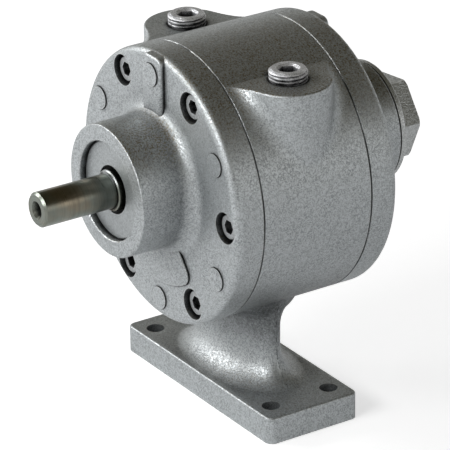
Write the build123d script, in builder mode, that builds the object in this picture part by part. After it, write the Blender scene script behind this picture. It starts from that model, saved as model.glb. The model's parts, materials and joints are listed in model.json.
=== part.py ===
from build123d import *
import math
import os

# Foot-mounted rotary vane air motor. Millimetres.
# Origin: centre of the foot's four bolt holes, on the underside of the foot.
# +Z is up and the output shaft points along -Y.

# Main casting
body_radius = 50.8
body_length = 45.0
axis_height = 87.0
bore_radius = 33.0
seam_chamfer = 0.3

# Foot
foot_length = 95.2
foot_width = 38.6
foot_thickness = 10.2
foot_corner_radius = 3.0
foot_edge_round = 0.8
foot_hole_radius = 3.375
foot_hole_spacing_x = 76.9
foot_hole_spacing_y = 24.9

# Pedestal between foot and body: an oval column that flares at both ends
waist_half_width = 24.0
waist_half_depth = 7.1
foot_flare_height = 13.9
foot_flare_width = 12.0
foot_flare_depth = 15.2
foot_flare_steps = 9
foot_flare_sweep = 75.0
foot_flare_sink = 0.6
crown_flare_radius = 14.0
crown_flare_sweep = 48.0
crown_flare_bite = 0.5
crown_depth_reach = 22.0
crown_depth_height = 10.5
crown_depth_sweep = 62.0
crown_depth_drop = 5.2
crown_steps = 8

# Ports: two upright bosses with taper threads, closed by socket plugs
port_inset = 18.5
port_boss_radius = 15.6
port_top_drop = 6.9
port_boss_blend = 8.0
port_boss_edge_round = 0.8
port_spot_face_gap = 0.75
port_thread_depth = 13.0
port_passage_radius = 5.2
port_floor_height = 93.0
plug_radius = 6.85
plug_length = 12.2
plug_stand_out = 4.2
plug_edge_chamfer = 0.6
plug_socket_width = 6.35
plug_socket_depth = 5.0
thread_taper_angle = 1.79

# Gaskets between the body and the covers
gasket_thickness = 0.2
gasket_inset = 0.35

# End covers
cover_thickness = 11.4
cover_edge_round = 3.0
front_boss_wall = 6.0
rear_boss_wall = 5.0
boss_length = 21.1
boss_draft_angle = 0.8
boss_blend = 5.5
boss_edge_round = 0.5
recess_step = 0.7
recess_depth = 7.3
recess_mouth_chamfer = 0.3
wall_thickness = 10.8
rib_half_width = 6.0
rib_height = 1.8
rib_inset = 0.5
rib_corner_radius = 3.0
rib_edge_round = 1.2
pad_half_angle = 37.0
pad_reach = 36.0
pad_height = 0.9
pad_corner_radius = 4.0
pad_edge_round = 0.4
mark_radius = 4.2
mark_height = 0.5

# Cover screws and dowels, both on one circle about the body's axis
screw_inset = 7.6
screw_count = 6
screw_radius = 3.175
screw_length = 16.0
screw_head_radius = 4.7625
screw_head_height = 6.35
screw_head_chamfer = 0.5
screw_tip_chamfer = 0.6
screw_socket_width = 4.76
screw_socket_depth = 3.2
screw_head_sink = 1.6
screw_spare_depth = 1.5
counterbore_gap = 0.9875
screw_hole_gap = 0.225
dowel_radius = 2.4
dowel_length = 12.0
dowel_chamfer = 0.4
dowel_count = 2
dowel_angle = 30.0

# Rotor, vanes and shaft, carried above the body's axis
rotor_rise = 3.7
rotor_seat_radius = 9.5
vane_count = 4
vane_thickness = 3.18
vane_height = 15.0
vane_corner_radius = 0.6
vane_first_angle = 45.0
output_radius = 6.35
output_reach = 28.4
output_chamfer = 0.8
shaft_step_sink = 0.7
shaft_step_chamfer = 0.4
shaft_tail = 1.5
shaft_tail_chamfer = 0.6
centre_mouth_radius = 3.3
centre_pilot_radius = 1.6
centre_cone_depth = 2.9
centre_pilot_depth = 6.5

# Ball bearings
bearing_bore_radius = 7.5
bearing_outer_radius = 17.5
bearing_width = 11.0
bearing_corner_chamfer = 0.5
ball_radius = 2.975
ball_count = 8
ring_wall = 2.9
cage_half_thickness = 0.65
cage_width = 8.2

# Retaining rings that hold the bearings in the covers
clip_thickness = 1.5
clip_groove_depth = 0.9
clip_band = 2.3
clip_gap_half_angle = 17.0
clip_lug_angle = 24.0
clip_lug_radius = 2.1
clip_lug_hole_radius = 0.8

# Shaft seal
seal_face_sink = 2.5
seal_sheet = 1.0
seal_corner_radius = 0.7
seal_hole_radius = 8.9
seal_rubber = 1.1
seal_lip_width = 0.7
seal_lip_slope = 1.6

# Rear end cap
cap_flange_lap = 4.4
cap_flange_thickness = 2.0
cap_flange_round = 0.5
cap_hex_width = 28.575
cap_hex_length = 10.9
cap_hex_turn = 5.5
cap_corner_drop = 0.45
cap_chamfer_angle = 30.0
cap_spigot_length = 7.6
cap_hollow_radius = 12.0
cap_hollow_depth = 13.0
cap_gasket_thickness = 0.8

# Clearances
fit_gap = 0.02
running_gap = 0.05
thread_gap = 0.05
shaft_wall_gap = 0.1
vane_floor_gap = 0.3
cage_pocket_gap = 0.1
gasket_hole_gap = 0.4
dowel_end_gap = 0.2

# Sizes that follow from the ones above
shaft_height = axis_height + rotor_rise
port_offset = body_radius - port_inset
port_top_height = axis_height + body_radius - port_top_drop
screw_circle_radius = body_radius - screw_inset
rib_reach = body_radius - rib_inset
cover_inner = body_length / 2 + gasket_thickness
cover_face = cover_inner + cover_thickness
boss_face = cover_face + boss_length
recess_radius = bearing_outer_radius + recess_step
front_boss_radius = recess_radius + front_boss_wall
rear_boss_radius = recess_radius + rear_boss_wall
cap_flange_radius = recess_radius + cap_flange_lap
inner_land_radius = bearing_bore_radius + ring_wall
outer_land_radius = bearing_outer_radius - ring_wall
bearing_start = cover_inner + wall_thickness
bearing_end = bearing_start + bearing_width
bearing_middle = (bearing_start + bearing_end) / 2
recess_floor = boss_face - recess_depth
rotor_radius = bore_radius - rotor_rise - running_gap
rotor_length = 2 * (cover_inner - running_gap)
vane_tip_radius = rotor_radius - running_gap
vane_middle_radius = vane_tip_radius - vane_height / 2
vane_length = rotor_length - 2 * running_gap
pitch_radius = (bearing_bore_radius + bearing_outer_radius) / 2
clip_outer_radius = bearing_outer_radius + clip_groove_depth
screw_seat = cover_face - screw_head_sink - screw_head_height
tapped_depth = screw_length - (screw_seat - body_length / 2) + screw_spare_depth
dowel_hole_depth = dowel_length / 2 + dowel_end_gap
plug_bottom = port_top_height + plug_stand_out - plug_length
taper = math.tan(math.radians(thread_taper_angle))

# Working planes. On a front plane the sketch's x and y are the model's X and Z, and
# offsets run forward, towards the output shaft. On a section plane the sketch's x is
# the distance from the axis and its y runs forward along it.
body_front = Plane(origin=(0, 0, axis_height), x_dir=(1, 0, 0), z_dir=(0, -1, 0))
shaft_front = Plane(origin=(0, 0, shaft_height), x_dir=(1, 0, 0), z_dir=(0, -1, 0))
shaft_section = Plane(origin=(0, 0, shaft_height), x_dir=(0, 0, 1), z_dir=(1, 0, 0))
shaft_axis = Axis((0, 0, shaft_height), (0, -1, 0))
from_base = (Align.CENTER, Align.CENTER, Align.MIN)
to_top = (Align.CENTER, Align.CENTER, Align.MAX)

os.makedirs("parts", exist_ok=True)


def save(part, name):
    part.label = name
    export_step(part, f"parts/{name}.step")


def save_rear(part, name):
    with BuildPart() as rear:
        mirror(part, about=Plane.XZ)
    save(rear.part, name)


# Main casting: body, port bosses, pedestal and foot in one piece.
# The pedestal is a loft of ovals. It flares onto the foot, and under the body it
# flares again: in width along an arc that all but touches the body's round, and in
# depth from a little below the body's underside.
def flare(rise, height, reach, sweep):
    climb = min(max(rise / height, 0), math.sin(math.radians(sweep)))
    return reach * (1 - math.sqrt(1 - climb**2))


crown_centre_height = crown_flare_bite + axis_height - math.sqrt(
    (body_radius + crown_flare_radius) ** 2 - (waist_half_width + crown_flare_radius) ** 2
)
crown_top = crown_centre_height + crown_flare_radius * math.sin(math.radians(crown_flare_sweep))
crown_bottom = axis_height - body_radius - crown_depth_drop
foot_flare_top = foot_thickness - foot_flare_sink + foot_flare_height
pedestal_ovals = []
for step in range(foot_flare_steps):
    turn = math.radians(foot_flare_sweep * (1 - step / foot_flare_steps))
    level = foot_flare_top - foot_flare_height * math.sin(turn)
    half_width = waist_half_width + foot_flare_width * (1 - math.cos(turn))
    half_depth = waist_half_depth + foot_flare_depth * (1 - math.cos(turn))
    pedestal_ovals.append((level, half_width, half_depth))
for step in range(crown_steps + 1):
    level = crown_bottom + (crown_top - crown_bottom) * step / crown_steps
    wider = flare(level - crown_centre_height, crown_flare_radius, crown_flare_radius, crown_flare_sweep)
    deeper = flare(level - crown_bottom, crown_depth_height, crown_depth_reach, crown_depth_sweep)
    pedestal_ovals.append((level, waist_half_width + wider, waist_half_depth + deeper))

with BuildPart() as barrel:
    with Locations(body_front.offset(-body_length / 2)):
        Cylinder(body_radius, body_length, align=from_base)
    chamfer(barrel.edges().filter_by(GeomType.CIRCLE), seam_chamfer)

with BuildPart() as motor_body:
    add(barrel.part)
    # The port bosses stand tall while their feet are blended, then the flats are cut,
    # rounded at the rim and spot-faced where the plugs come close to the body's round
    with Locations((port_offset, 0, axis_height), (-port_offset, 0, axis_height)):
        Cylinder(port_boss_radius, body_radius, align=from_base)
    fillet(motor_body.edges().filter_by(GeomType.BSPLINE), port_boss_blend)
    split(bisect_by=Plane.XY.offset(port_top_height), keep=Keep.BOTTOM)
    port_flats = motor_body.faces().filter_by(Axis.Z).sort_by(Axis.Z)[-2:]
    fillet(port_flats.edges().filter_by(GeomType.LINE, reverse=True), port_boss_edge_round)
    add(barrel.part)
    with Locations((port_offset, 0, port_top_height), (-port_offset, 0, port_top_height)):
        Cylinder(plug_radius + port_spot_face_gap, plug_stand_out, align=from_base, mode=Mode.SUBTRACT)

    with BuildSketch(Plane.XY):
        RectangleRounded(foot_length, foot_width, foot_corner_radius)
    extrude(amount=foot_thickness)
    foot_top = motor_body.faces().filter_by(Axis.Z).group_by(Axis.Z)[1]
    fillet(foot_top.edges(), foot_edge_round)
    for level, half_width, half_depth in pedestal_ovals:
        with BuildSketch(Plane.XY.offset(level)):
            Ellipse(half_width, half_depth)
    loft()
    with Locations((0, 0, foot_thickness)):
        with GridLocations(foot_hole_spacing_x, foot_hole_spacing_y, 2, 2):
            Hole(foot_hole_radius, foot_thickness)

    with Locations(body_front.offset(-body_length / 2)):
        Cylinder(bore_radius, body_length, align=from_base, mode=Mode.SUBTRACT)
    with BuildSketch(Plane.XY.offset(port_top_height)):
        with Locations((port_offset, 0), (-port_offset, 0)):
            Circle(plug_radius + thread_gap)
    extrude(amount=port_thread_depth, dir=(0, 0, -1), taper=thread_taper_angle, mode=Mode.SUBTRACT)
    with Locations((port_offset, 0, port_top_height), (-port_offset, 0, port_top_height)):
        Hole(port_passage_radius, port_top_height - port_floor_height)
    for end in (1, -1):
        with BuildSketch(body_front.offset(end * body_length / 2)):
            with PolarLocations(screw_circle_radius, screw_count):
                Circle(screw_radius + thread_gap)
        extrude(amount=-end * tapped_depth, mode=Mode.SUBTRACT)
        with BuildSketch(body_front.offset(end * body_length / 2)):
            with PolarLocations(screw_circle_radius, dowel_count, start_angle=dowel_angle):
                Circle(dowel_radius + fit_gap)
        extrude(amount=-end * dowel_hole_depth, mode=Mode.SUBTRACT)
save(motor_body.part, "motor_body")


# Gasket between the body and a cover
with BuildPart() as gasket:
    with BuildSketch(body_front.offset(body_length / 2)):
        Circle(body_radius - gasket_inset)
        Circle(bore_radius, mode=Mode.SUBTRACT)
        with PolarLocations(screw_circle_radius, screw_count):
            Circle(screw_radius + gasket_hole_gap, mode=Mode.SUBTRACT)
        with PolarLocations(screw_circle_radius, dowel_count, start_angle=dowel_angle):
            Circle(dowel_radius + gasket_hole_gap, mode=Mode.SUBTRACT)
    extrude(amount=gasket_thickness)
save(gasket.part, "front_gasket")
save_rear(gasket.part, "rear_gasket")


# Rib that runs from the boss to the rim of a cover
rib_root = rotor_rise + (recess_radius + rear_boss_radius) / 2
with BuildPart() as rib:
    with BuildSketch(body_front.offset(cover_face - rib_height)):
        with Locations((0, (rib_reach + rib_root) / 2)):
            RectangleRounded(2 * rib_half_width, rib_reach - rib_root, rib_corner_radius)
    extrude(amount=2 * rib_height)
    fillet(rib.faces().sort_by(Axis.Y)[0].edges(), rib_edge_round)

# Raised pad under the boss, a sector with rounded corners
with BuildPart() as pad:
    with BuildSketch(body_front.offset(cover_face - pad_height)) as pad_outline:
        Circle(pad_reach)
        with BuildLine():
            wide = 2 * pad_reach * math.sin(math.radians(pad_half_angle))
            low = -2 * pad_reach * math.cos(math.radians(pad_half_angle))
            Polyline((0, 0), (wide, low), (-wide, low), (0, 0))
        make_face(mode=Mode.INTERSECT)
        fillet(pad_outline.vertices().group_by(Axis.Z)[0], pad_corner_radius)
    extrude(amount=2 * pad_height)
    fillet(pad.faces().sort_by(Axis.Y)[0].edges(), pad_edge_round)


# End cover, placed at the front. The rear one is mirrored and has a smaller boss.
def end_cover(boss_radius):
    with BuildPart() as cover:
        with Locations(body_front.offset(cover_inner)):
            Cylinder(body_radius, cover_thickness, align=from_base)
        fillet(cover.edges().sort_by(Axis.Y)[0], cover_edge_round)
        chamfer(cover.edges().sort_by(Axis.Y)[-1], seam_chamfer)
        with BuildSketch(shaft_front.offset(cover_face)):
            Circle(boss_radius + boss_length * math.tan(math.radians(boss_draft_angle)))
        extrude(amount=boss_length, taper=boss_draft_angle)
        face_edges = cover.edges().filter_by_position(Axis.Y, -cover_face, -cover_face)
        fillet(face_edges.sort_by(SortBy.LENGTH)[0], boss_blend)
        fillet(cover.edges().sort_by(Axis.Y)[0], boss_edge_round)
        add(rib.part)
        add(pad.part)
        with BuildSketch(body_front.offset(cover_face - mark_height)):
            with PolarLocations(screw_circle_radius, screw_count, start_angle=180 / screw_count):
                Circle(mark_radius)
        extrude(amount=2 * mark_height)
        with BuildSketch(body_front.offset(cover_face)):
            with Locations((0, screw_circle_radius)):
                Circle(mark_radius)
        extrude(amount=rib_height + mark_height)
        # Stepped bore: shaft clearance, bearing seat, retaining ring groove and recess
        for start, radius, reach in (
            (cover_inner, rotor_seat_radius + shaft_wall_gap, wall_thickness),
            (bearing_start, bearing_outer_radius + fit_gap, boss_face - bearing_start),
            (bearing_end, clip_outer_radius + running_gap, clip_thickness + running_gap),
            (recess_floor, recess_radius, recess_depth),
        ):
            with Locations(shaft_front.offset(start)):
                Cylinder(radius, reach, align=from_base, mode=Mode.SUBTRACT)
        mouth = cover.faces().sort_by(Axis.Y)[0].edges().sort_by(SortBy.LENGTH)[0]
        chamfer(mouth, recess_mouth_chamfer)
        with Locations(body_front.offset(cover_face)):
            with PolarLocations(screw_circle_radius, screw_count):
                CounterBoreHole(
                    screw_radius + screw_hole_gap,
                    screw_head_radius + counterbore_gap,
                    screw_head_sink + screw_head_height,
                    cover_thickness,
                )
        with BuildSketch(body_front.offset(cover_inner)):
            with PolarLocations(screw_circle_radius, dowel_count, start_angle=dowel_angle):
                Circle(dowel_radius + fit_gap)
        extrude(amount=dowel_hole_depth, mode=Mode.SUBTRACT)
    return cover.part


save(end_cover(front_boss_radius), "front_cover")
save_rear(end_cover(rear_boss_radius), "rear_cover")


# Socket head screw, seated on the XY plane with its head upwards
with BuildPart() as screw:
    Cylinder(screw_head_radius, screw_head_height, align=from_base)
    chamfer(screw.edges().sort_by(Axis.Z)[-1], screw_head_chamfer)
    Cylinder(screw_radius, screw_length, align=to_top)
    chamfer(screw.edges().sort_by(Axis.Z)[0], screw_tip_chamfer)
    with BuildSketch(Plane.XY.offset(screw_head_height)):
        RegularPolygon(screw_socket_width / 2, 6, major_radius=False)
    extrude(amount=-screw_socket_depth, mode=Mode.SUBTRACT)

with BuildPart() as cover_screws:
    with Locations(body_front.offset(screw_seat)):
        with PolarLocations(screw_circle_radius, screw_count):
            add(screw.part)
save(cover_screws.part, "front_cover_screws")
save_rear(cover_screws.part, "rear_cover_screws")

# Dowel pins across both joints
with BuildPart() as dowel_pins:
    for end in (1, -1):
        with Locations(body_front.offset(end * (body_length + gasket_thickness) / 2)):
            with PolarLocations(screw_circle_radius, dowel_count, start_angle=dowel_angle):
                Cylinder(dowel_radius, dowel_length)
    chamfer(dowel_pins.edges().filter_by(GeomType.CIRCLE), dowel_chamfer)
save(dowel_pins.part, "dowel_pins")


# Slotted rotor
with BuildPart() as rotor:
    with BuildSketch(shaft_front.offset(-rotor_length / 2)):
        Circle(rotor_radius)
        Circle(rotor_seat_radius + fit_gap, mode=Mode.SUBTRACT)
        with PolarLocations(vane_middle_radius, vane_count, start_angle=vane_first_angle):
            Rectangle(
                vane_height + 2 * vane_floor_gap,
                vane_thickness + 2 * running_gap,
                mode=Mode.SUBTRACT,
            )
    extrude(amount=rotor_length)
save(rotor.part, "rotor")

# Vanes, shown drawn in to the bottom of their slots
for number in range(vane_count):
    vane_angle = vane_first_angle + number * 360 / vane_count
    with BuildPart() as vane:
        with BuildSketch(shaft_front.offset(-vane_length / 2)):
            with PolarLocations(vane_middle_radius, 1, start_angle=vane_angle):
                RectangleRounded(vane_height, vane_thickness, vane_corner_radius)
        extrude(amount=vane_length)
    save(vane.part, f"vane_{number + 1}")

# Shaft: rotor seat, a journal each side, and the output end with its centre hole
shaft_tip = boss_face + output_reach
shaft_end = bearing_end + shaft_tail
step_face = boss_face - shaft_step_sink
journal_radius = bearing_bore_radius - fit_gap
seat_end = bearing_start - running_gap
with BuildPart() as drive_shaft:
    with BuildSketch(shaft_section):
        with BuildLine():
            Polyline(
                (0, -shaft_end),
                (journal_radius - shaft_tail_chamfer, -shaft_end),
                (journal_radius, shaft_tail_chamfer - shaft_end),
                (journal_radius, -seat_end),
                (rotor_seat_radius, -seat_end),
                (rotor_seat_radius, seat_end),
                (journal_radius, seat_end),
                (journal_radius, step_face - shaft_step_chamfer),
                (journal_radius - shaft_step_chamfer, step_face),
                (output_radius, step_face),
                (output_radius, shaft_tip - output_chamfer),
                (output_radius - output_chamfer, shaft_tip),
                (centre_mouth_radius, shaft_tip),
                (centre_pilot_radius, shaft_tip - centre_cone_depth),
                (centre_pilot_radius, shaft_tip - centre_pilot_depth),
                (0, shaft_tip - centre_pilot_depth - centre_pilot_radius),
                close=True,
            )
        make_face()
    revolve(axis=shaft_axis)
save(drive_shaft.part, "drive_shaft")


# Ball bearing, built at the front and mirrored to the rear
def bearing_ring(inner_radius, outer_radius, seat_radius):
    with BuildPart() as ring:
        with BuildSketch(shaft_section):
            with Locations(((inner_radius + outer_radius) / 2, bearing_middle)):
                Rectangle(outer_radius - inner_radius, bearing_width)
            with Locations((pitch_radius, bearing_middle)):
                Circle(ball_radius + running_gap, mode=Mode.SUBTRACT)
        revolve(axis=shaft_axis)
        ends = ring.faces().filter_by(Axis.Y).edges()
        seat_edges = ends.filter_by(lambda edge: abs(edge.radius - seat_radius) < fit_gap)
        chamfer(seat_edges, bearing_corner_chamfer)
    return ring.part


outer_ring = bearing_ring(outer_land_radius, bearing_outer_radius, bearing_outer_radius)
save(outer_ring, "front_bearing_outer_ring")
save_rear(outer_ring, "rear_bearing_outer_ring")
inner_ring = bearing_ring(bearing_bore_radius, inner_land_radius, bearing_bore_radius)
save(inner_ring, "front_bearing_inner_ring")
save_rear(inner_ring, "rear_bearing_inner_ring")

with BuildPart() as cage:
    with BuildSketch(shaft_section):
        with Locations((pitch_radius, bearing_middle)):
            Rectangle(2 * cage_half_thickness, cage_width)
    revolve(axis=shaft_axis)
    with Locations(shaft_front.offset(bearing_middle)):
        with PolarLocations(pitch_radius, ball_count):
            Cylinder(
                ball_radius + cage_pocket_gap,
                4 * cage_half_thickness,
                rotation=(0, 90, 0),
                mode=Mode.SUBTRACT,
            )
save(cage.part, "front_bearing_cage")
save_rear(cage.part, "rear_bearing_cage")

with BuildPart() as balls:
    with Locations(shaft_front.offset(bearing_middle)):
        with PolarLocations(pitch_radius, ball_count):
            Sphere(ball_radius)
save(balls.part, "front_bearing_balls")
save_rear(balls.part, "rear_bearing_balls")


# Retaining ring with its gap and two plier lugs at the bottom
with BuildPart() as clip:
    with BuildSketch(shaft_front.offset(bearing_end)):
        Circle(clip_outer_radius)
        Circle(clip_outer_radius - clip_band, mode=Mode.SUBTRACT)
        with BuildLine():
            wide = 2 * clip_outer_radius * math.sin(math.radians(clip_gap_half_angle))
            low = -2 * clip_outer_radius * math.cos(math.radians(clip_gap_half_angle))
            Polyline((0, 0), (wide, low), (-wide, low), (0, 0))
        make_face(mode=Mode.SUBTRACT)
        lug_circle = clip_outer_radius - clip_groove_depth - running_gap - clip_lug_radius
        for side in (1, -1):
            with PolarLocations(lug_circle, 1, start_angle=-90 + side * clip_lug_angle):
                Circle(clip_lug_radius)
                Circle(clip_lug_hole_radius, mode=Mode.SUBTRACT)
    extrude(amount=clip_thickness)
save(clip.part, "front_retaining_ring")
save_rear(clip.part, "rear_retaining_ring")


# Shaft seal: pressed sheet case with a rubber lip inside
seal_face = boss_face - seal_face_sink
seal_outer_radius = recess_radius - fit_gap
with BuildPart() as seal_case:
    with BuildSketch(shaft_section):
        with BuildLine():
            Line((seal_outer_radius, recess_floor), (seal_outer_radius, seal_face - seal_corner_radius))
            RadiusArc(
                (seal_outer_radius, seal_face - seal_corner_radius),
                (seal_outer_radius - seal_corner_radius, seal_face),
                -seal_corner_radius,
            )
            Polyline(
                (seal_outer_radius - seal_corner_radius, seal_face),
                (seal_hole_radius, seal_face),
                (seal_hole_radius, seal_face - seal_sheet),
                (seal_outer_radius - seal_sheet, seal_face - seal_sheet),
                (seal_outer_radius - seal_sheet, recess_floor),
                (seal_outer_radius, recess_floor),
            )
        make_face()
    revolve(axis=shaft_axis)
save(seal_case.part, "seal_case")

lip_radius = bearing_bore_radius + running_gap
lip_face = seal_face - seal_sheet
with BuildPart() as seal_lip:
    with BuildSketch(shaft_section):
        with BuildLine():
            Polyline(
                (seal_outer_radius - seal_sheet, lip_face),
                (seal_hole_radius, lip_face),
                (lip_radius, lip_face - seal_lip_slope),
                (lip_radius, lip_face - seal_lip_slope - seal_lip_width),
                (seal_hole_radius + seal_rubber, lip_face - seal_lip_slope - seal_lip_width),
                (seal_hole_radius + seal_rubber, lip_face - seal_rubber),
                (seal_outer_radius - seal_sheet, lip_face - seal_rubber),
                close=True,
            )
        make_face()
    revolve(axis=shaft_axis)
save(seal_lip.part, "seal_lip")


# Rear end cap: flanged hexagon with a hollow spigot, on its own gasket
cap_seat = boss_face + cap_gasket_thickness
hex_start = cap_seat + cap_flange_thickness
hex_end = hex_start + cap_hex_length
hex_corner_radius = cap_hex_width / 2 / math.cos(math.pi / 6)
with BuildPart() as rear_end_cap:
    with Locations(shaft_front.offset(-cap_seat)):
        Cylinder(cap_flange_radius, cap_flange_thickness, align=to_top)
        Cylinder(recess_radius - thread_gap, cap_spigot_length, align=from_base)
    fillet(rear_end_cap.edges().sort_by(Axis.Y)[-1], cap_flange_round)
    with BuildSketch(shaft_front.offset(-hex_start)):
        RegularPolygon(cap_hex_width / 2, 6, major_radius=False, rotation=cap_hex_turn)
    extrude(amount=-cap_hex_length)
    with BuildSketch(shaft_section):
        with BuildLine():
            flat_radius = hex_corner_radius - cap_corner_drop / math.tan(math.radians(cap_chamfer_angle))
            Polyline(
                (hex_corner_radius, cap_corner_drop - hex_end),
                (flat_radius, -hex_end),
                (hex_corner_radius, -hex_end),
                close=True,
            )
        make_face()
    revolve(axis=shaft_axis, mode=Mode.SUBTRACT)
    with Locations(shaft_front.offset(cap_spigot_length - cap_seat)):
        Hole(cap_hollow_radius, cap_hollow_depth)
save(rear_end_cap.part, "rear_end_cap")

with BuildPart() as end_cap_gasket:
    with BuildSketch(shaft_front.offset(-boss_face)):
        Circle(cap_flange_radius - gasket_inset)
        Circle(recess_radius, mode=Mode.SUBTRACT)
    extrude(amount=-cap_gasket_thickness)
save(end_cap_gasket.part, "end_cap_gasket")


# Taper-threaded socket plugs in the two ports
plug_top_radius = plug_radius + plug_stand_out * taper
plug_tip_radius = plug_top_radius - plug_length * taper
for side, name in ((-1, "port_plug_left"), (1, "port_plug_right")):
    plug_foot = (side * port_offset, 0, plug_bottom)
    with BuildPart() as plug:
        with BuildSketch(Plane(origin=plug_foot, x_dir=(1, 0, 0), z_dir=(0, -1, 0))):
            with BuildLine():
                Polyline(
                    (0, 0),
                    (plug_tip_radius - plug_edge_chamfer, 0),
                    (plug_tip_radius, plug_edge_chamfer),
                    (plug_top_radius, plug_length - plug_edge_chamfer),
                    (plug_top_radius - plug_edge_chamfer, plug_length),
                    (0, plug_length),
                    close=True,
                )
            make_face()
        revolve(axis=Axis(plug_foot, (0, 0, 1)))
        with BuildSketch(Plane(origin=plug_foot).offset(plug_length)):
            RegularPolygon(plug_socket_width / 2, 6, major_radius=False)
        extrude(amount=-plug_socket_depth, mode=Mode.SUBTRACT)
    save(plug.part, name)
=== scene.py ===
import bpy
import json
import math
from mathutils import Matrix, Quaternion, Vector


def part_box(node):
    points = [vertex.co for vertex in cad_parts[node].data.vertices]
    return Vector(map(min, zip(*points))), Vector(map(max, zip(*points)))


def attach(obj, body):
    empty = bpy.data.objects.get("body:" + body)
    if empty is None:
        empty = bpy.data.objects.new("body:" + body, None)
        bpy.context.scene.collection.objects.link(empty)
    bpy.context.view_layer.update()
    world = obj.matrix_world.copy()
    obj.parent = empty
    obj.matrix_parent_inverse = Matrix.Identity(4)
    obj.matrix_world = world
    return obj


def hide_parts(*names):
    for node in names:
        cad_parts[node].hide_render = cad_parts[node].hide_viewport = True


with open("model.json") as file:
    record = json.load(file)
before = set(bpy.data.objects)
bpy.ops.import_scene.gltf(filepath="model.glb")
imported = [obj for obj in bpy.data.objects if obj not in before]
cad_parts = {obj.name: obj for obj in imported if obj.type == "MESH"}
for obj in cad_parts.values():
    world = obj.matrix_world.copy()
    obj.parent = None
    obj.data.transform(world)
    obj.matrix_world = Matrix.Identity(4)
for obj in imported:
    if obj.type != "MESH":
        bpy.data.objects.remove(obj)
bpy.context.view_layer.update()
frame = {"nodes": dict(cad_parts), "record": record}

mm = 0.001  # sizes are written in millimetres and turned into metres with this, noise scales are per metre
noiseMiddle = 0.5  # the value that noise goes up and down about
nodes = frame["nodes"]
print("frame loaded,", len(nodes), "CAD nodes")


def middleOf(name):  # of a CAD node, in millimetres
    low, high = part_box(name)
    return (low + high) / 2 / mm


# Shader node helpers
def addNode(tree, kind, **settings):
    node = tree.nodes.new(kind)
    for key, value in settings.items():
        setattr(node, key, value)
    return node


def feed(tree, socket, value):
    if isinstance(value, (int, float, tuple)):
        socket.default_value = value
    else:
        tree.links.new(value, socket)


def mathNode(tree, operation, first, second=None, third=None, clamp=False):
    node = addNode(tree, "ShaderNodeMath", operation=operation, use_clamp=clamp)
    for socket, value in zip(node.inputs, (first, second, third)):
        if value is not None:
            feed(tree, socket, value)
    return node.outputs[0]


def product(tree, first, *others):
    for value in others:
        first = mathNode(tree, "MULTIPLY", first, value)
    return first


def distance(tree, value, place):
    return mathNode(tree, "ABSOLUTE", mathNode(tree, "SUBTRACT", value, place))


def hypotenuse(tree, first, second):
    squares = product(tree, first, first), product(tree, second, second)
    return mathNode(tree, "SQRT", mathNode(tree, "ADD", *squares))


def vectorNode(tree, operation, first, second=None):
    node = addNode(tree, "ShaderNodeVectorMath", operation=operation)
    feed(tree, node.inputs[0], first)
    if second is not None:
        feed(tree, node.inputs[1], second)
    return node.outputs["Value"] if operation in ("DOT_PRODUCT", "LENGTH") else node.outputs["Vector"]


def splitNode(tree, vector):
    node = addNode(tree, "ShaderNodeSeparateXYZ")
    tree.links.new(vector, node.inputs[0])
    return node.outputs


def objectPlace(tree):  # in metres, from the point on the floor under the body's middle
    return addNode(tree, "ShaderNodeTexCoord").outputs["Object"]


# Smooth step over a span, which is (low, high) or (low, high, result at low, result at high)
def stepNode(tree, value, span, unit=1.0):
    low, high, *results = span
    node = addNode(tree, "ShaderNodeMapRange", interpolation_type="SMOOTHSTEP")
    for socket, number in zip(node.inputs, (value, low * unit, high * unit, *(results or (0.0, 1.0)))):
        feed(tree, socket, number)
    return node.outputs["Result"]


# The pattern is (scale, detail, roughness, distortion), and may leave out the last two
def noiseNode(tree, vector, pattern):
    node = addNode(tree, "ShaderNodeTexNoise")
    feed(tree, node.inputs["Vector"], vector)
    for key, value in zip(("Scale", "Detail", "Roughness", "Distortion"), pattern):
        feed(tree, node.inputs[key], value)
    return node.outputs["Fac"]


def mixColor(tree, factor, first, second, blend="MIX"):
    node = addNode(tree, "ShaderNodeMix", data_type="RGBA", blend_type=blend)
    for index, value in ((0, factor), (6, first), (7, second)):
        feed(tree, node.inputs[index], value)
    return node.outputs[2]


def newGroup(name, inputs, outputs):
    tree = bpy.data.node_groups.new(name, "ShaderNodeTree")
    for key, value in inputs.items():
        tree.interface.new_socket(key, in_out="INPUT", socket_type="NodeSocketFloat").default_value = value
    for key in outputs:
        kind = "NodeSocketVector" if key == "Normal" else "NodeSocketFloat"
        tree.interface.new_socket(key, in_out="OUTPUT", socket_type=kind)
    return tree, addNode(tree, "NodeGroupInput").outputs, addNode(tree, "NodeGroupOutput").inputs


def placeGroup(tree, group, **values):
    node = addNode(tree, "ShaderNodeGroup", node_tree=group)
    for key, value in values.items():
        node.inputs[key].default_value = value
    return node.outputs


# Hammered paint and cast skin: thin dark squiggles round small pebbles, in patches
hammerGrain = {
    "pattern": (1.0, 0.45, 0.7),  # each material gives the scale
    "squiggle": (0.0, 0.11),  # from a squiggle's middle to the pebbles beside it
    "patchPattern": (0.12, 2.0),  # the first is a share of the grain's scale
    "patches": (0.3, 0.7, 0.85, 1.12),
    "pebbleRise": 0.4,
}


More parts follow.
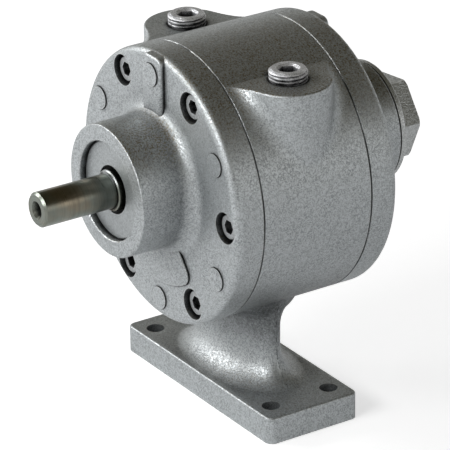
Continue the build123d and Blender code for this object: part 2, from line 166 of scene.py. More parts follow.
def buildGrainGroup():
    tree, given, out = newGroup("hammerGrain", {"Scale": 800.0, "Contrast": 0.3}, ("Shade", "Height"))
    place = objectPlace(tree)
    fine = noiseNode(tree, place, (given["Scale"], *hammerGrain["pattern"]))
    pebble = stepNode(tree, distance(tree, fine, noiseMiddle), hammerGrain["squiggle"])
    patchScale, patchDetail = hammerGrain["patchPattern"]
    broad = noiseNode(tree, place, (product(tree, given["Scale"], patchScale), patchDetail))
    strength = product(tree, given["Contrast"], stepNode(tree, broad, hammerGrain["patches"]))
    dark = product(tree, mathNode(tree, "SUBTRACT", 1.0, pebble), strength)
    tree.links.new(mathNode(tree, "SUBTRACT", 1.0, dark), out["Shade"])
    tree.links.new(mathNode(tree, "MULTIPLY_ADD", fine, hammerGrain["pebbleRise"], pebble), out["Height"])
    return tree


# Wear on edges, together with a painted highlight on rounded edges, found with the bevel node and broken up
# by noise
edgeWearAndHighlight = {
    "bend": (0.02, 0.22),  # how far the rounded normal leans off the plain one
    "pattern": (420.0, 3.0, 0.6),
    "broken": (0.38, 0.62, 0.25, 1.0),
}


def buildWearAndHighlightGroup():
    tree, given, out = newGroup("edgeWearAndHighlight", {"Radius": 0.6 * mm, "Amount": 0.5}, ("Mask",))
    bevel = addNode(tree, "ShaderNodeBevel", samples=4)
    tree.links.new(given["Radius"], bevel.inputs["Radius"])
    plain = addNode(tree, "ShaderNodeNewGeometry").outputs["Normal"]
    bend = mathNode(tree, "SUBTRACT", 1.0, vectorNode(tree, "DOT_PRODUCT", bevel.outputs["Normal"], plain))
    broken = stepNode(tree, noiseNode(tree, objectPlace(tree), edgeWearAndHighlight["pattern"]), edgeWearAndHighlight["broken"])
    edge = stepNode(tree, bend, edgeWearAndHighlight["bend"])
    tree.links.new(product(tree, edge, broken, given["Amount"]), out["Mask"])
    return tree


# Dirt and painted shade in corners and recesses, or painted shade alone in the broad hollows of one casting
gatheredDirtAndShade = {
    "deep": (0.90, 0.48),  # how open a place is, from one just sheltered to one fully darkened by dirt and painted shade
    "pattern": (260.0, 3.0, 0.6),
    "broken": (0.3, 0.7, 0.75, 1.1),
    "offFloor": (0.8, 4.5),  # height over which the floor's own shelter is left out
}


def buildDirtAndShadeGroup(name, oneCasting):
    tree, given, out = newGroup(name, {"Reach": 3.0 * mm, "Amount": 0.5}, ("Mask",))
    shelter = addNode(tree, "ShaderNodeAmbientOcclusion", samples=8, only_local=oneCasting)
    tree.links.new(given["Reach"], shelter.inputs["Distance"])
    place = objectPlace(tree)
    deep = stepNode(tree, shelter.outputs["AO"], gatheredDirtAndShade["deep"])
    broken = stepNode(tree, noiseNode(tree, place, gatheredDirtAndShade["pattern"]), gatheredDirtAndShade["broken"])
    offFloor = stepNode(tree, splitNode(tree, place)["Z"], gatheredDirtAndShade["offFloor"], mm)
    dirtAndShade = product(tree, deep, broken, offFloor)
    tree.links.new(mathNode(tree, "MULTIPLY", dirtAndShade, given["Amount"], clamp=True), out["Mask"])
    return tree


# Turning marks: fine rings about the shaft's axis, on round and flat faces alike
turningMarks = {
    "axisHeight": middleOf("drive_shaft").z,
    "rings": (2.0, 0.6),  # each material gives the scale
    "ringStrength": 1.6,
    "smear": (140.0, 3.0, 0.55),
}


def buildTurningGroup():
    tree, given, out = newGroup("turningMarks", {"Scale": 2500.0, "Contrast": 0.15}, ("Shade", "Height"))
    place = objectPlace(tree)
    spot = splitNode(tree, place)
    rise = mathNode(tree, "SUBTRACT", spot["Z"], turningMarks["axisHeight"] * mm)
    profile = addNode(tree, "ShaderNodeCombineXYZ")
    tree.links.new(hypotenuse(tree, spot["X"], rise), profile.inputs["X"])
    tree.links.new(spot["Y"], profile.inputs["Y"])
    rings = noiseNode(tree, profile.outputs[0], (given["Scale"], *turningMarks["rings"]))
    smear = mathNode(tree, "SUBTRACT", noiseNode(tree, place, turningMarks["smear"]), noiseMiddle)
    lines = mathNode(tree, "SUBTRACT", rings, noiseMiddle)
    lines = mathNode(tree, "MULTIPLY_ADD", lines, turningMarks["ringStrength"], smear)
    tree.links.new(mathNode(tree, "MULTIPLY_ADD", lines, given["Contrast"], 1.0), out["Shade"])
    tree.links.new(rings, out["Height"])
    return tree


# Soft foot of the pedestal: the crease on the foot's top is shaded as a blend
footBlend = {
    "radius": 2.8,
    "across": (34.4, 35.0, 1.0, 0.0),  # sideways from the middle, to where the blend ends
    "along": (18.2, 18.8, 1.0, 0.0),
    "bottom": 9.8,  # just under the foot's top
    "top": (14.0, 19.0, 1.0, 0.0),
}


def buildBlendGroup():
    tree, given, out = newGroup("footBlend", {"Radius": footBlend["radius"] * mm}, ("Normal",))
    spot = splitNode(tree, objectPlace(tree))
    across = stepNode(tree, mathNode(tree, "ABSOLUTE", spot["X"]), footBlend["across"], mm)
    along = stepNode(tree, mathNode(tree, "ABSOLUTE", spot["Y"]), footBlend["along"], mm)
    under = stepNode(tree, spot["Z"], footBlend["top"], mm)
    above = mathNode(tree, "GREATER_THAN", spot["Z"], footBlend["bottom"] * mm)
    bevel = addNode(tree, "ShaderNodeBevel", samples=8)
    tree.links.new(product(tree, across, along, under, above, given["Radius"]), bevel.inputs["Radius"])
    tree.links.new(bevel.outputs["Normal"], out["Normal"])
    return tree


# Parting line of the mould: a thin broken line up the pedestal's ends
partingLine = {
    "width": 0.4,
    "amount": 0.6,
    "course": (90.0, 2.0),  # noise that leads the line from side to side
    "wander": 0.6,
    "pattern": (600.0, 2.0),
    "broken": (0.42, 0.56),
    "bottom": (10.5, 12.0),
    "top": (48.0, 40.0),
}


def buildPartingGroup():
    inputs = {"Width": partingLine["width"] * mm, "Amount": partingLine["amount"]}
    tree, given, out = newGroup("partingLine", inputs, ("Mask",))
    place = objectPlace(tree)
    spot = splitNode(tree, place)
    course = noiseNode(tree, place, partingLine["course"])
    wander = partingLine["wander"] * mm
    middle = mathNode(tree, "MULTIPLY_ADD", course, -wander, wander / 2)
    halfWidth = product(tree, given["Width"], 0.5)
    near = mathNode(tree, "LESS_THAN", distance(tree, spot["Y"], middle), halfWidth)
    broken = stepNode(tree, noiseNode(tree, place, partingLine["pattern"]), partingLine["broken"])
    bottom = stepNode(tree, spot["Z"], partingLine["bottom"], mm)
    top = stepNode(tree, spot["Z"], partingLine["top"], mm)
    tree.links.new(product(tree, near, broken, bottom, top, given["Amount"]), out["Mask"])
    return tree


# The two joints between body and covers: dark with dirt, and a painted highlight, pale and less metallic, for
# a stretch at the top
seamDirtAndHighlight = {
    "place": middleOf("rear_gasket").y,
    "width": 0.36,
    "amount": 0.80,
    "patchPattern": (38.0, 1.0),
    "patches": (0.36, 0.48, 0.55, 1.0),
    "paleWidth": 0.5,  # share of the dark line's
    "palePattern": (420.0, 2.0),
    "paleBroken": (0.38, 0.52, 0.35, 1.0),
    "paleBottom": 100.0,
    "paleMiddle": (3.3, 13.9),  # sideways, in front and at the rear
    "paleEnd": (14.0, 18.0, 1.0, 0.0),  # from there, in front
    "rearLonger": 2.8,
    "gapMiddle": 0.5,  # in front a gap parts the pale stretch
    "gap": (3.0, 5.0),
}


def buildSeamDirtAndHighlightGroup():
    inputs = {
        "Place": seamDirtAndHighlight["place"] * mm,
        "Width": seamDirtAndHighlight["width"] * mm,
        "Amount": seamDirtAndHighlight["amount"],
    }
    tree, given, out = newGroup("seamDirtAndHighlight", inputs, ("Dark", "Pale"))
    place = objectPlace(tree)
    spot = splitNode(tree, place)
    away = distance(tree, mathNode(tree, "ABSOLUTE", spot["Y"]), given["Place"])
    near = mathNode(tree, "LESS_THAN", away, given["Width"])
    narrow = mathNode(tree, "LESS_THAN", away, product(tree, given["Width"], seamDirtAndHighlight["paleWidth"]))
    rear = mathNode(tree, "GREATER_THAN", spot["Y"], 0.0)
    inFront, atRear = (sideways * mm for sideways in seamDirtAndHighlight["paleMiddle"])
    across = distance(tree, spot["X"], mathNode(tree, "MULTIPLY_ADD", rear, atRear - inFront, inFront))
    across = mathNode(tree, "SUBTRACT", across, product(tree, rear, seamDirtAndHighlight["rearLonger"] * mm))
    gap = stepNode(tree, distance(tree, spot["X"], seamDirtAndHighlight["gapMiddle"] * mm), seamDirtAndHighlight["gap"], mm)
    gap = mathNode(tree, "MAXIMUM", rear, gap)
    above = mathNode(tree, "GREATER_THAN", spot["Z"], seamDirtAndHighlight["paleBottom"] * mm)
    stretch = product(tree, stepNode(tree, across, seamDirtAndHighlight["paleEnd"], mm), gap, above)
    patches = stepNode(tree, noiseNode(tree, place, seamDirtAndHighlight["patchPattern"]), seamDirtAndHighlight["patches"])
    dark = product(tree, near, patches, mathNode(tree, "SUBTRACT", 1.0, stretch), given["Amount"])
    broken = stepNode(tree, noiseNode(tree, place, seamDirtAndHighlight["palePattern"]), seamDirtAndHighlight["paleBroken"])
    tree.links.new(dark, out["Dark"])
    tree.links.new(product(tree, narrow, broken, stretch), out["Pale"])
    return tree


# Brownish dust specks on upward faces, more of them on the right, that also paint in the dark warm shade of
# the tops
topDustAndShade = {
    "scale": 1550.0,
    "amount": 0.75,
    "upward": (0.40, 0.85),  # from steep faces to nearly level ones
    "pattern": (2.0, 0.6),
    "speckle": (0.44, 0.66),
    "leftToRight": (-12.0, 16.0, 0.25, 1.15),
    "footToBody": (15.0, 60.0, 0.35, 1.0),
}


def buildDustAndShadeGroup():
    inputs = {"Scale": topDustAndShade["scale"], "Amount": topDustAndShade["amount"]}
    tree, given, out = newGroup("topDustAndShade", inputs, ("Mask",))
    normal = addNode(tree, "ShaderNodeNewGeometry").outputs["Normal"]
    upward = stepNode(tree, splitNode(tree, normal)["Z"], topDustAndShade["upward"])
    place = objectPlace(tree)
    spot = splitNode(tree, place)
    specks = noiseNode(tree, place, (given["Scale"], *topDustAndShade["pattern"]))
    speckle = stepNode(tree, specks, topDustAndShade["speckle"])
    sideways = stepNode(tree, spot["X"], topDustAndShade["leftToRight"], mm)
    height = stepNode(tree, spot["Z"], topDustAndShade["footToBody"], mm)
    brownLayer = product(tree, upward, speckle, sideways, height)
    tree.links.new(mathNode(tree, "MULTIPLY", brownLayer, given["Amount"], clamp=True), out["Mask"])
    return tree


# Painted shade under the round of the body, on the pedestal's neck and the body's underside
underBodyShade = {
    "amount": 0.62,
    "bottom": (20.0, 34.0),
    "top": (62.0, 40.0),
    "ends": (22.0, 23.2, 1.0, 0.0),  # it stops at the two joints
    "pattern": (900.0, 2.0, 0.6),
    "broken": (0.35, 0.65, 0.7, 1.1),
}


def buildUnderShadeGroup():
    tree, given, out = newGroup("underBodyShade", {"Amount": underBodyShade["amount"]}, ("Mask",))
    place = objectPlace(tree)
    spot = splitNode(tree, place)
    bottom = stepNode(tree, spot["Z"], underBodyShade["bottom"], mm)
    top = stepNode(tree, spot["Z"], underBodyShade["top"], mm)
    ends = stepNode(tree, mathNode(tree, "ABSOLUTE", spot["Y"]), underBodyShade["ends"], mm)
    broken = stepNode(tree, noiseNode(tree, place, underBodyShade["pattern"]), underBodyShade["broken"])
    grimeAndShade = product(tree, bottom, top, ends, broken)
    tree.links.new(mathNode(tree, "MULTIPLY", grimeAndShade, given["Amount"], clamp=True), out["Mask"])
    return tree


# Painted shade: a dark ring on the port's flat round each plug, where a spot-face's shadow falls
plugShadeRing = {
    "middle": middleOf("port_plug_right").x,
    "inner": 6.8,
    "outer": 7.4,
    "softEdge": (-0.4, 0.0, 1.0, 0.0),
    "course": (240.0, 2.0),  # noise that moves the outer edge in and out
    "wander": 0.6,
    "bottom": 129.0,  # a little under the port's flat
    "amount": 0.9,
}


def buildPlugShadeGroup():
    inputs = {
        "Inner": plugShadeRing["inner"] * mm,
        "Outer": plugShadeRing["outer"] * mm,
        "Amount": plugShadeRing["amount"],
    }
    tree, given, out = newGroup("plugShadeRing", inputs, ("Mask",))
    place = objectPlace(tree)
    spot = splitNode(tree, place)
    aside = mathNode(tree, "SUBTRACT", mathNode(tree, "ABSOLUTE", spot["X"]), plugShadeRing["middle"] * mm)
    radius = hypotenuse(tree, aside, spot["Y"])
    course = noiseNode(tree, place, plugShadeRing["course"])
    outer = mathNode(tree, "MULTIPLY_ADD", course, plugShadeRing["wander"] * mm, given["Outer"])
    inside = stepNode(tree, mathNode(tree, "SUBTRACT", radius, outer), plugShadeRing["softEdge"], mm)
    outside = mathNode(tree, "GREATER_THAN", radius, given["Inner"])
    above = mathNode(tree, "GREATER_THAN", spot["Z"], plugShadeRing["bottom"] * mm)
    tree.links.new(product(tree, inside, outside, above, given["Amount"]), out["Mask"])
    return tree


# Pale paint strayed onto the top of the shaft's step inside the seal, kept to the step's upper part as a
# painted highlight too
strayPaintAndHighlight = {
    "sunk": 0.7,  # how far the step's face lies behind the boss's
    "band": 0.6,
    "rise": (93.0, 97.2),
    "pattern": (330.0, 2.0),
    "broken": (0.34, 0.52, 0.5, 1.0),
    "amount": 0.9,
}


def buildStrayAndHighlightGroup():
    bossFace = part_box("front_cover")[0].y
    inputs = {
        "Face": bossFace + strayPaintAndHighlight["sunk"] * mm,
        "Band": strayPaintAndHighlight["band"] * mm,
        "Amount": strayPaintAndHighlight["amount"],
    }
    tree, given, out = newGroup("strayPaintAndHighlight", inputs, ("Mask",))
    place = objectPlace(tree)
    spot = splitNode(tree, place)
    near = mathNode(tree, "LESS_THAN", distance(tree, spot["Y"], given["Face"]), given["Band"])
    broken = stepNode(tree, noiseNode(tree, place, strayPaintAndHighlight["pattern"]), strayPaintAndHighlight["broken"])
    rise = stepNode(tree, spot["Z"], strayPaintAndHighlight["rise"], mm)
    tree.links.new(product(tree, near, broken, rise, given["Amount"]), out["Mask"])
    return tree


groups = {
    "grain": buildGrainGroup(),
    "wearAndHighlight": buildWearAndHighlightGroup(),
    "dirtAndShade": buildDirtAndShadeGroup("creaseDirtAndShade", False),
    "broadShade": buildDirtAndShadeGroup("hollowShade", True),
    "turning": buildTurningGroup(),
    "blend": buildBlendGroup(),
    "parting": buildPartingGroup(),
    "seam": buildSeamDirtAndHighlightGroup(),
    "brownLayer": buildDustAndShadeGroup(),
    "under": buildUnderShadeGroup(),
    "ring": buildPlugShadeGroup(),
    "strayAndHighlight": buildStrayAndHighlightGroup(),
}
print("shader groups built:", len(groups))

# Finishes, one for each material slot of the record. Grain and turning give noise scale, contrast and height,
# edge wear with its painted highlight gives reach, amount and colour, dirt with painted shade and the broad
# painted shade give reach and amount, and grime the share of the finish's own colour that dirt and painted
# shade keep.
finishes = {
    "casting_paint": {
        "color": (0.515, 0.544, 0.557), "metallic": 0.85, "roughness": 0.41,
        # wear with painted edge highlight, dirt with painted shade, broad painted shade, dark brown for dust
        # and painted shade on tops, a pale painted seam highlight
        "grain": (1120.0, 0.38, 0.027), "wearAndHighlight": (1.1, 0.50, (0.76, 0.76, 0.74)),
        "dirtAndShade": (3.5, 1.15), "broadShade": (35.0, 0.50), "grimeAndShade": 0.035,
        "brownLayer": (0.19, 0.145, 0.07), "paintedSeamHighlight": (0.88, 0.87, 0.82),
    },
    "cap_paint": {
        "color": (0.60, 0.62, 0.62), "metallic": 0.85, "roughness": 0.34,
        "grain": (900.0, 0.30, 0.06), "wearAndHighlight": (0.5, 0.6, (0.65, 0.65, 0.63)), "dirtAndShade": (3.0, 0.6),
    },
    "seal_paint": {
        "color": (0.45, 0.475, 0.485), "metallic": 0.85, "roughness": 0.41,
        "grain": (1120.0, 0.25, 0.02), "wearAndHighlight": (0.4, 0.4, (0.62, 0.62, 0.60)), "dirtAndShade": (1.5, 0.8),
    },
    "gasket_fibre": {
        "color": (0.10, 0.10, 0.09), "metallic": 0.0, "roughness": 0.85,
        "grain": (1600.0, 0.35, 0.04), "wearAndHighlight": (0.3, 0.2, (0.2, 0.2, 0.18)), "dirtAndShade": (1.0, 0.3),
    },
    "screw_steel": {
        "color": (0.50, 0.52, 0.53), "metallic": 0.70, "roughness": 0.34,
        "grain": (1500.0, 0.30, 0.02), "wearAndHighlight": (0.5, 0.8, (0.86, 0.89, 0.90)),
        "dirtAndShade": (5.0, 1.0), "grimeAndShade": 0.01,
    },
    "plug_zinc": {
        "color": (0.84, 0.85, 0.88), "metallic": 0.80, "roughness": 0.43,
        "grain": (1300.0, 0.45, 0.03), "wearAndHighlight": (0.4, 0.9, (0.92, 0.93, 0.94)),
        "dirtAndShade": (6.0, 1.0), "grimeAndShade": 0.01,
    },
    "shaft_steel": {
        "color": (0.205, 0.226, 0.200), "metallic": 1.0, "roughness": 0.33,
        "turning": (2600.0, 0.40, 0.006), "wearAndHighlight": (0.45, 0.6, (0.40, 0.38, 0.33)),
        "dirtAndShade": (5.0, 1.4), "grimeAndShade": 0.03,
        "tarnish": (0.245, 0.213, 0.160), "strayAndHighlight": (0.42, 0.44, 0.45),
    },
    "bearing_steel": {
        "color": (0.60, 0.60, 0.60), "metallic": 1.0, "roughness": 0.22,
        "turning": (3500.0, 0.15, 0.003), "wearAndHighlight": (0.4, 0.5, (0.75, 0.75, 0.75)), "dirtAndShade": (1.0, 0.4),
    },
    "ball_steel": {
        "color": (0.68, 0.68, 0.69), "metallic": 1.0, "roughness": 0.08,
        "grain": (900.0, 0.05, 0.001), "wearAndHighlight": (0.2, 0.1, (0.75, 0.75, 0.75)), "dirtAndShade": (1.0, 0.2),
    },
    "cage_steel": {
        "color": (0.50, 0.49, 0.47), "metallic": 1.0, "roughness": 0.42,
        "grain": (1400.0, 0.2, 0.01), "wearAndHighlight": (0.3, 0.5, (0.7, 0.69, 0.66)), "dirtAndShade": (1.0, 0.5),
    },
    "spring_steel": {
        "color": (0.16, 0.16, 0.17), "metallic": 0.8, "roughness": 0.4,
        "grain": (1300.0, 0.25, 0.01), "wearAndHighlight": (0.3, 0.6, (0.4, 0.4, 0.4)), "dirtAndShade": (1.0, 0.3),
    },
    "rotor_iron": {
        "color": (0.30, 0.30, 0.30), "metallic": 0.9, "roughness": 0.42,
        "turning": (2200.0, 0.25, 0.006), "wearAndHighlight": (0.5, 0.5, (0.5, 0.5, 0.5)), "dirtAndShade": (2.0, 0.5),
    },
    "vane_composite": {
        "color": (0.16, 0.11, 0.07), "metallic": 0.0, "roughness": 0.6,
        "grain": (1800.0, 0.4, 0.02), "wearAndHighlight": (0.4, 0.4, (0.3, 0.22, 0.15)), "dirtAndShade": (1.0, 0.3),
    },
    "seal_rubber": {
        "color": (0.03, 0.03, 0.03), "metallic": 0.0, "roughness": 0.55,
        "grain": (1200.0, 0.3, 0.02), "wearAndHighlight": (0.3, 0.3, (0.09, 0.09, 0.09)), "dirtAndShade": (1.0, 0.2),
    },
}
mixing = {  # what the masks do in every finish
    "grimeAndShade": 0.12,  # for a finish that gives none
    "tarnishPattern": (55.0, 3.0, 0.6),
    "tarnish": (0.42, 0.66),
    "grainRougher": 0.35,
    "dirtAndShadeRougher": 0.3,
    "edgeSmoother": 0.08,
    "strayDuller": 0.8,
    "strayCleaner": 0.7,
}


# The casting's own marks, with painted shade and a painted highlight, laid over its paint
def addCastMarks(tree, shader, finish, color, grimeAndShade):
    # painted shade in the broad hollows: under the body, on the pedestal's neck and round the bosses
    broadShadeReach, broadShadeAmount = finish["broadShade"]
    broadShade = placeGroup(tree, groups["broadShade"], Reach=broadShadeReach * mm, Amount=broadShadeAmount)
    color = mixColor(tree, broadShade["Mask"], color, grimeAndShade)
    # brown dust specks that also paint in the dark warm shade on upward faces
    color = mixColor(tree, placeGroup(tree, groups["brownLayer"])["Mask"], color, (*finish["brownLayer"], 1.0))
    # painted shade under the body, the mould's parting line, and a painted shade ring round each plug
    for name in ("under", "parting", "ring"):
        color = mixColor(tree, placeGroup(tree, groups[name])["Mask"], color, grimeAndShade)
    seam = placeGroup(tree, groups["seam"])
    color = mixColor(tree, seam["Dark"], color, grimeAndShade)
    # painted highlight: a pale, less metallic stretch along the top of each seam
    metallic = mathNode(tree, "MULTIPLY_ADD", seam["Pale"], -finish["metallic"], finish["metallic"])
    tree.links.new(metallic, shader.inputs["Metallic"])
    return mixColor(tree, seam["Pale"], color, (*finish["paintedSeamHighlight"], 1.0))


def buildMaterial(name, finish):
    material = bpy.data.materials.new(name)
    material.use_nodes = True
    tree = material.node_tree
    shader = tree.nodes["Principled BSDF"]
    base = (*finish["color"], 1.0)
    grimeAndShade = (*(finish.get("grimeAndShade", mixing["grimeAndShade"]) * part for part in finish["color"]), 1.0)
    relief = "turning" if "turning" in finish else "grain"
    scale, contrast, depth = finish[relief]
    surface = placeGroup(tree, groups[relief], Scale=scale, Contrast=contrast)
    # edge wear, with painted highlights where rounded edges catch the light
    edgeReach, edgeAmount, edgeColor = finish["wearAndHighlight"]
    wearAndHighlight = placeGroup(tree, groups["wearAndHighlight"], Radius=edgeReach * mm, Amount=edgeAmount)["Mask"]
    # dirt in corners and recesses, with painted shade that darkens them, down to black in counterbores and
    # sockets
    dirtAndShadeReach, dirtAndShadeAmount = finish["dirtAndShade"]
    dirtAndShade = placeGroup(tree, groups["dirtAndShade"], Reach=dirtAndShadeReach * mm, Amount=dirtAndShadeAmount)["Mask"]
    bump = addNode(tree, "ShaderNodeBump")

    if "tarnish" in finish:
        brownLayer = stepNode(tree, noiseNode(tree, objectPlace(tree), mixing["tarnishPattern"]), mixing["tarnish"])
        base = mixColor(tree, brownLayer, base, (*finish["tarnish"], 1.0))
    color = mixColor(tree, 1.0, base, surface["Shade"], "MULTIPLY")
    color = mixColor(tree, wearAndHighlight, color, (*edgeColor, 1.0))
    if "brownLayer" in finish:
        color = addCastMarks(tree, shader, finish, color, grimeAndShade)
        tree.links.new(placeGroup(tree, groups["blend"])["Normal"], bump.inputs["Normal"])
    # stray paint, kept to the step's upper part, that also paints in its bright highlight
    elif "strayAndHighlight" in finish:
        strayAndHighlight = placeGroup(tree, groups["strayAndHighlight"])["Mask"]
        color = mixColor(tree, strayAndHighlight, color, (*finish["strayAndHighlight"], 1.0))
        metallic = mathNode(tree, "MULTIPLY_ADD", strayAndHighlight, -mixing["strayDuller"], finish["metallic"])
        tree.links.new(metallic, shader.inputs["Metallic"])
        dirtAndShade = product(tree, dirtAndShade, mathNode(tree, "MULTIPLY_ADD", strayAndHighlight, -mixing["strayCleaner"], 1.0))
    else:
        shader.inputs["Metallic"].default_value = finish["metallic"]
    tree.links.new(mixColor(tree, dirtAndShade, color, grimeAndShade), shader.inputs["Base Color"])

    dark = mathNode(tree, "SUBTRACT", 1.0, surface["Shade"])
    rough = mathNode(tree, "MULTIPLY_ADD", dark, mixing["grainRougher"], finish["roughness"])
    rough = mathNode(tree, "MULTIPLY_ADD", dirtAndShade, mixing["dirtAndShadeRougher"], rough)
    rough = mathNode(tree, "MULTIPLY_ADD", wearAndHighlight, -mixing["edgeSmoother"], rough, clamp=True)
    tree.links.new(rough, shader.inputs["Roughness"])
    bump.inputs["Strength"].default_value = 1.0
    bump.inputs["Distance"].default_value = depth * mm
    tree.links.new(surface["Height"], bump.inputs["Height"])
    tree.links.new(bump.outputs["Normal"], shader.inputs["Normal"])
    return material


materials = {name: buildMaterial(name, finish) for name, finish in finishes.items()}
for part in frame["record"]["subparts"]:
    node = nodes[part["node"]]
    node.data.materials.clear()
    node.data.materials.append(materials[part["material_slot"]])
print("materials built:", len(materials))

# Port plugs with their real taper thread, which the CAD solids leave plain
plug = {
    "standOut": 4.2,  # above the port's flat
    "radius": 6.85,  # at the port's flat
    "coreRadius": 5.9,
    "taper": 0.03125,
    "pitch": 1.411,
    "depth": 0.62,
    "steepness": 1.6,  # above 1 it leaves the ridges flat on top
    "chamfer": 0.9,
    "socket": 3.175,  # from the middle to a flat
    "socketDepth": 5.0,
    "drillPoint": 0.9,
    "mouth": 4.15,  # round countersink over the socket
    "mouthDepth": 0.7,
    "columns": 96,
    "rowsPerTurn": 10,
    "sharpAngle": 32,
}


def threadRadius(angle, height, bottom, top):
    crest = plug["radius"] + (height - top + plug["standOut"]) * plug["taper"]
    edge = min(height - bottom, top - height)
    crest = min(crest, crest - plug["chamfer"] + edge)
    phase = (height / plug["pitch"] - angle / (2 * math.pi)) % 1.0
    ridge = min(1.0, plug["steepness"] * (1 - abs(2 * phase - 1)))
    return max(crest - plug["depth"] * (1 - ridge), plug["coreRadius"])


def socketRadius(angle):
    return plug["socket"] / math.cos(angle % (math.pi / 3) - math.pi / 6)


def buildPlug(name, solid):
    low, high = (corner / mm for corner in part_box(solid))
    middle, bottom, top = (low.x + high.x) / 2, low.z, high.z
    columns = plug["columns"]
    rows = round((top - bottom) / plug["pitch"] * plug["rowsPerTurn"])
    points, faces = [], []

    def ring(radiusAt, height):
        for column in range(columns):
            angle = 2 * math.pi * column / columns
            radius = radiusAt(angle)
            across, along = radius * math.cos(angle), radius * math.sin(angle)
            points.append(((middle + across) * mm, along * mm, height * mm))

    for row in range(rows + 1):
        height = bottom + (top - bottom) * row / rows
        ring(lambda angle: threadRadius(angle, height, bottom, top), height)
    ring(lambda angle: plug["mouth"], top)
    ring(socketRadius, top - plug["mouthDepth"])
    ring(socketRadius, top - plug["socketDepth"])
    last = len(points) - columns  # first point of the socket's lowest ring
    for start in range(0, last, columns):
        for column in range(columns):
            here, after = start + column, start + (column + 1) % columns
            faces.append((here, after, after + columns, here + columns))
    points.append((middle * mm, 0, (top - plug["socketDepth"] - plug["drillPoint"]) * mm))
    points.append((middle * mm, 0, bottom * mm))
    for column in range(columns):
        after = (column + 1) % columns
        faces.append((last + column, last + after, len(points) - 2))
        faces.append((after, column, len(points) - 1))

    mesh = bpy.data.meshes.new(name)
    mesh.from_pydata(points, [], faces)
    mesh.materials.append(materials["plug_zinc"])
    mesh.shade_smooth()
    mesh.set_sharp_from_angle(angle=math.radians(plug["sharpAngle"]))
    made = bpy.data.objects.new(name, mesh)
    bpy.context.scene.collection.objects.link(made)
    return made


for side in ("left", "right"):
    threaded = buildPlug(f"threaded_plug_{side}", f"port_plug_{side}")
    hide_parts(f"port_plug_{side}")
    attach(threaded, "housing")
print("port plugs built")

# Camera, fitted to the photograph's edges and holes
camera = {
    "azimuth": 56.927,
    "elevation": 24.389,
    "roll": -0.797,
    "distance": 1326.58,
    "lens": 295.37,
    "sensor": 36.0,
    "target": (0.03, -5.94, 64.94),
    "clip": (10.0, 20000.0),
}


def buildCamera():
    data = bpy.data.cameras.new("camera")
    data.lens = camera["lens"]
    data.sensor_width = camera["sensor"]
    data.sensor_fit = "HORIZONTAL"
    data.clip_start, data.clip_end = (reach * mm for reach in camera["clip"])
    made = bpy.data.objects.new("camera", data)
    bpy.context.scene.collection.objects.link(made)
    turn, tilt = math.radians(camera["azimuth"]), math.radians(camera["elevation"])
    back = Vector((math.sin(turn) * math.cos(tilt), -math.cos(turn) * math.cos(tilt), math.sin(tilt)))
    made.location = (Vector(camera["target"]) + back * camera["distance"]) * mm
    made.rotation_mode = "QUATERNION"
    aim = (-back).to_track_quat("-Z", "Y")
    made.rotation_quaternion = aim @ Quaternion((0, 0, 1), math.radians(camera["roll"]))
    bpy.context.scene.camera = made


buildCamera()
print("camera placed")

# Floor, in metres
floorPaper = {
    "reach": 4.0,
    "color": (0.86, 0.86, 0.86, 1.0),
    "roughness": 0.9,
    "specular": 0.1,
    "glow": 0.56,  # what the camera sees near the motor, where the shadow lies
    "fade": (0.25, 0.9),  # from the middle, where the camera sees it turn white on every side
    "mirrored": 0.17,  # glow that metal sees
}


def buildFloor():
    mesh = bpy.data.meshes.new("floor")
    reach = floorPaper["reach"]
    corners = [(-reach, -reach, 0), (reach, -reach, 0), (reach, reach, 0), (-reach, reach, 0)]
    mesh.from_pydata(corners, [], [(0, 1, 2, 3)])
    floor = bpy.data.objects.new("floor", mesh)
    bpy.context.scene.collection.objects.link(floor)
    material = bpy.data.materials.new("floorPaper")
    material.use_nodes = True
    tree = material.node_tree
    shader = tree.nodes["Principled BSDF"]
    shader.inputs["Base Color"].default_value = floorPaper["color"]
    shader.inputs["Roughness"].default_value = floorPaper["roughness"]
    shader.inputs["Specular IOR Level"].default_value = floorPaper["specular"]
    shader.inputs["Emission Color"].default_value = (1.0, 1.0, 1.0, 1.0)
    rays = addNode(tree, "ShaderNodeLightPath").outputs
    metal = mathNode(tree, "MAXIMUM", rays["Is Glossy Ray"], rays["Is Transmission Ray"])
    away = vectorNode(tree, "LENGTH", objectPlace(tree))
    seen = stepNode(tree, away, (*floorPaper["fade"], floorPaper["glow"], 1.0))
    mirrored = product(tree, metal, floorPaper["mirrored"])
    glow = mathNode(tree, "MULTIPLY_ADD", rays["Is Camera Ray"], seen, mirrored)
    tree.links.new(glow, shader.inputs["Emission Strength"])
    mesh.materials.append(material)


# Surroundings: white for the camera, a soft fill for the light, and a studio for metal to mirror
surroundings = {
    "fill": 0.20,
    "mirrored": (  # the sine of the height above the horizon, and the colour there
        (0.0, (1.0, 1.0, 1.0)),
        (0.1, (0.78, 0.78, 0.76)),
        (0.25, (0.42, 0.41, 0.38)),
        (0.42, (0.185, 0.178, 0.15)),
        (0.54, (0.060, 0.051, 0.026)),
        (1.0, (0.048, 0.042, 0.02)),
    ),
}


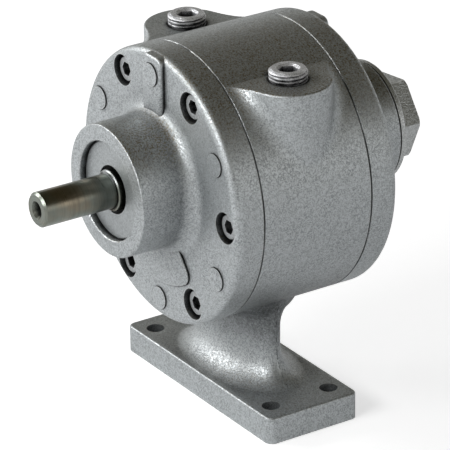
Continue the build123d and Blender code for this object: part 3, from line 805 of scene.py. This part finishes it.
def buildWorld():
    world = bpy.data.worlds.new("studio")
    bpy.context.scene.world = world
    world.use_nodes = True
    tree = world.node_tree
    background = tree.nodes["Background"]
    direction = addNode(tree, "ShaderNodeTexCoord").outputs["Generated"]
    ramp = addNode(tree, "ShaderNodeValToRGB")
    tree.links.new(splitNode(tree, direction)["Z"], ramp.inputs[0])
    stops = ramp.color_ramp.elements
    for spot, shade in surroundings["mirrored"]:
        stop = stops[0] if spot == 0.0 else stops[-1] if spot == 1.0 else stops.new(spot)
        stop.color = (*shade, 1.0)
    fill = (surroundings["fill"], surroundings["fill"], surroundings["fill"], 1.0)
    rays = addNode(tree, "ShaderNodeLightPath").outputs
    metal = mathNode(tree, "MAXIMUM", rays["Is Glossy Ray"], rays["Is Transmission Ray"])
    lit = mixColor(tree, metal, fill, ramp.outputs[0])
    seen = mixColor(tree, rays["Is Camera Ray"], lit, (1.0, 1.0, 1.0, 1.0))
    tree.links.new(seen, background.inputs["Color"])


# Lamps, in metres and watts
motorMiddle = (0.0, 0.0, 0.08)
lamps = {
    "keyLamp": {"from": (-0.70, -0.50, 0.50), "away": 1.3, "width": 0.8, "height": 0.35, "power": 8.0},
    "frontLamp": {"from": (0.10, -0.82, 0.54), "away": 1.3, "width": 0.8, "height": 0.35, "power": 8.0},
    "sideLamp": {"from": (0.80, 0.30, 0.30), "away": 1.6, "width": 0.9, "height": 0.5, "power": 1.3},
}


def buildLamp(name, lamp):
    data = bpy.data.lights.new(name, "AREA")
    data.shape = "RECTANGLE"
    data.size, data.size_y = lamp["width"], lamp["height"]
    data.energy = lamp["power"]
    made = bpy.data.objects.new(name, data)
    bpy.context.scene.collection.objects.link(made)
    direction = Vector(lamp["from"]).normalized()
    made.location = Vector(motorMiddle) + direction * lamp["away"]
    made.rotation_mode = "QUATERNION"
    made.rotation_quaternion = (-direction).to_track_quat("-Z", "Y")


buildFloor()
buildWorld()
for name, lamp in lamps.items():
    buildLamp(name, lamp)
bpy.context.scene.view_settings.view_transform = "Standard"
print("studio built")
